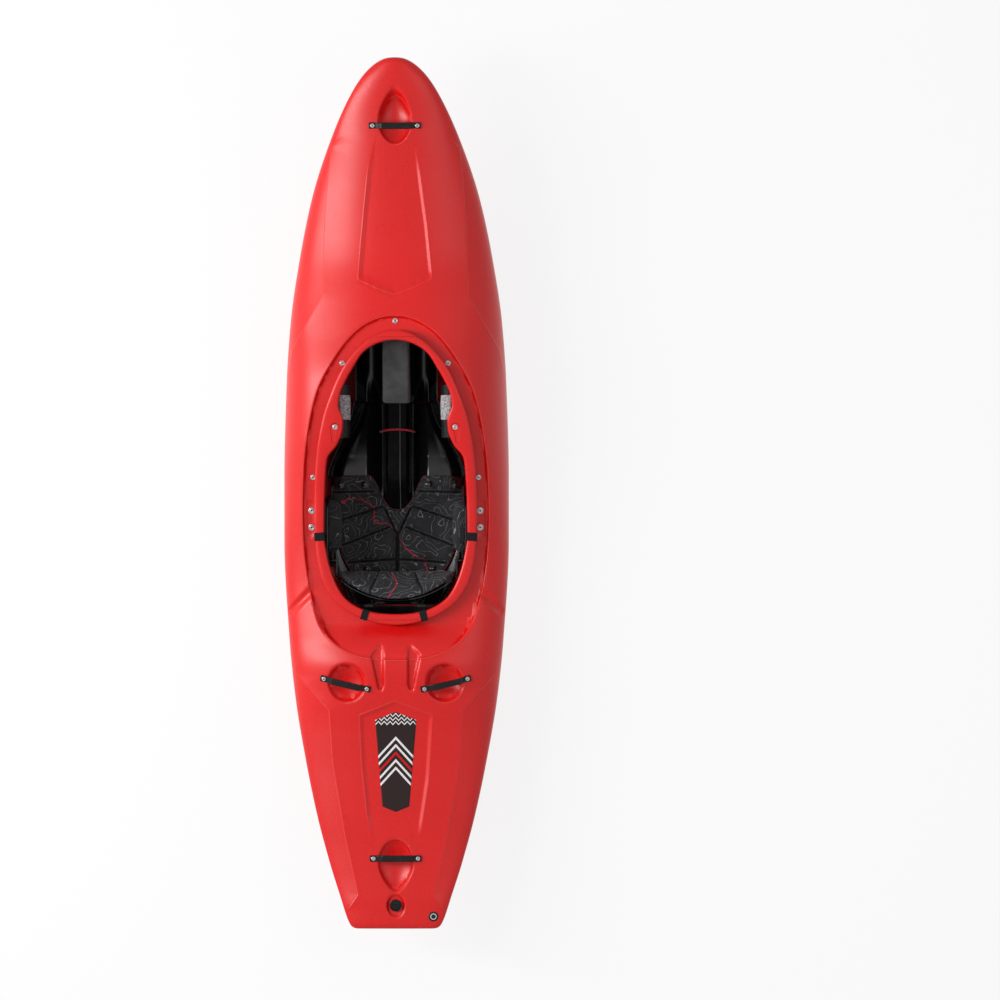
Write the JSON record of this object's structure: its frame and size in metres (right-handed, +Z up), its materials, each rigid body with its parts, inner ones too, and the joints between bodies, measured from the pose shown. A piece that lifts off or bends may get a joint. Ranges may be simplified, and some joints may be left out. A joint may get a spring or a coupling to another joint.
{
  "type": "whitewater kayak",
  "caption": "Short moulded river kayak with keyhole cockpit, sliding seat, tilting back band, adjustable thigh braces, foot bulkhead on rails, grab handles and drain plug.",
  "frame": {"origin": "under the middle of the boat's length, on the flat of the hull that it rests on", "axes": "+Y towards the bow, +X to starboard, +Z up"},
  "size_m": [0.706, 2.7, 0.4502],
  "materials": {
    "red_plastic": "satin",
    "black_plastic": "satin",
    "seat_plastic": "satin",
    "handle_black": "satin",
    "pad_fabric": "matte",
    "grey_foam": "matte",
    "steel": "satin",
    "rail_metal": "satin",
    "rubber": "matte",
    "red_cord": "matte"
  },
  "bodies": {
    "boat": {"rim_screw_front": "steel", "rim_screw_knee_starboard": "steel", "rim_screw_hip_starboard": "steel", "rim_screw_knee_port": "steel", "rim_screw_hip_port": "steel", "seat_bolt_front_starboard": "steel", "seat_bolt_rear_starboard": "steel", "seat_bracket_starboard": "black_plastic", "seat_bolt_front_port": "steel", "seat_bolt_rear_port": "steel", "seat_bracket_port": "black_plastic", "thigh_brace_bolt_starboard": "steel", "thigh_brace_bolt_port": "steel", "bow_handle_bolt_a": "steel", "bow_handle_bolt_b": "steel", "bow_grab_handle": "handle_black", "stern_handle_bolt_a": "steel", "stern_handle_bolt_b": "steel", "stern_grab_handle": "handle_black", "starboard_handle_bolt_a": "steel", "starboard_handle_bolt_b": "steel", "starboard_grab_handle": "handle_black", "port_handle_bolt_a": "steel", "port_handle_bolt_b": "steel", "port_grab_handle": "handle_black", "drain_seat": "black_plastic", "rail_bolt_front_starboard": "steel", "rail_bolt_rear_starboard": "steel", "bulkhead_rail_starboard": "rail_metal", "rail_bolt_front_port": "steel", "rail_bolt_rear_port": "steel", "bulkhead_rail_port": "rail_metal", "front_pillar": "grey_foam", "rear_pillar": "grey_foam", "hull_shell": "red_plastic", "deck_shell": "red_plastic", "cockpit_rim": "red_plastic"},
    "seat": {"seat_pan": "seat_plastic", "seat_pad": "pad_fabric", "hip_pad_starboard": "pad_fabric", "hip_pad_port": "pad_fabric", "lifter_cord": "red_cord", "ratchet_base_starboard": "black_plastic", "ratchet_base_port": "black_plastic"},
    "back_rest": {"back_band": "seat_plastic", "back_pad": "pad_fabric"},
    "lever_starboard": {"ratchet_lever_starboard": "black_plastic"},
    "lever_port": {"ratchet_lever_port": "black_plastic"},
    "bulkhead": {"foot_bulkhead": "black_plastic", "foot_pad": "grey_foam"},
    "bracket_starboard": {"bulkhead_bracket_starboard": "black_plastic"},
    "bracket_port": {"bulkhead_bracket_port": "black_plastic"},
    "brace_starboard": {"thigh_brace_starboard": "black_plastic", "thigh_pad_starboard": "pad_fabric"},
    "brace_port": {"thigh_brace_port": "black_plastic", "thigh_pad_port": "pad_fabric"},
    "gasket": {"drain_gasket": "rubber"},
    "plug": {"drain_plug": "black_plastic"}
  },
  "joints": [
    {"name": "seat_slide", "type": "slide", "parent": "boat", "child": "seat", "axis": [0, 1, 0], "range_m": [-0.025, 0.025]},
    {"name": "back_band_tilt", "type": "hinge", "parent": "seat", "child": "back_rest", "pos_m": [0, -0.205, 0.15], "axis": [1, 0, 0], "range_deg": [-25, 15]},
    {"name": "lever_turn_starboard", "type": "hinge", "parent": "seat", "child": "lever_starboard", "pos_m": [0.2067, -0.1452, 0.1988], "axis": [1, 0, 0], "range_deg": [0, 70]},
    {"name": "lever_turn_port", "type": "hinge", "parent": "seat", "child": "lever_port", "pos_m": [-0.2067, -0.1452, 0.1988], "axis": [1, 0, 0], "range_deg": [0, 70]},
    {"name": "bulkhead_slide", "type": "slide", "parent": "boat", "child": "bulkhead", "axis": [0, 1, 0], "range_m": [-0.06, 0.06]},
    {"name": "bracket_slide_starboard", "type": "slide", "parent": "boat", "child": "bracket_starboard", "axis": [-0.2566, 0.9613, 0.1], "range_m": [-0.063, 0.063]},
    {"name": "bracket_slide_port", "type": "slide", "parent": "boat", "child": "bracket_port", "axis": [0.2566, 0.9613, 0.1], "range_m": [-0.063, 0.063]},
    {"name": "brace_slide_starboard", "type": "slide", "parent": "boat", "child": "brace_starboard", "axis": [0, 0.9806, 0.1959], "range_m": [-0.02, 0.02]},
    {"name": "brace_slide_port", "type": "slide", "parent": "boat", "child": "brace_port", "axis": [0, 0.9806, 0.1959], "range_m": [-0.02, 0.02]},
    {"name": "plug_lift", "type": "slide", "parent": "boat", "child": "gasket", "axis": [0, 0, 1], "range_m": [0, 0.012]},
    {"name": "plug_turn", "type": "hinge", "parent": "gasket", "child": "plug", "pos_m": [0, -1.277, 0.29], "axis": [0, 0, 1], "range_deg": [0, 1080]}
  ],
  "couplings": [
    {"joint": "bracket_slide_starboard", "follows": "bulkhead_slide", "ratio": 1.0402},
    {"joint": "bracket_slide_port", "follows": "bulkhead_slide", "ratio": 1.0402},
    {"joint": "plug_lift", "follows": "plug_turn", "m_per_rad": 0.00063662}
  ]
}
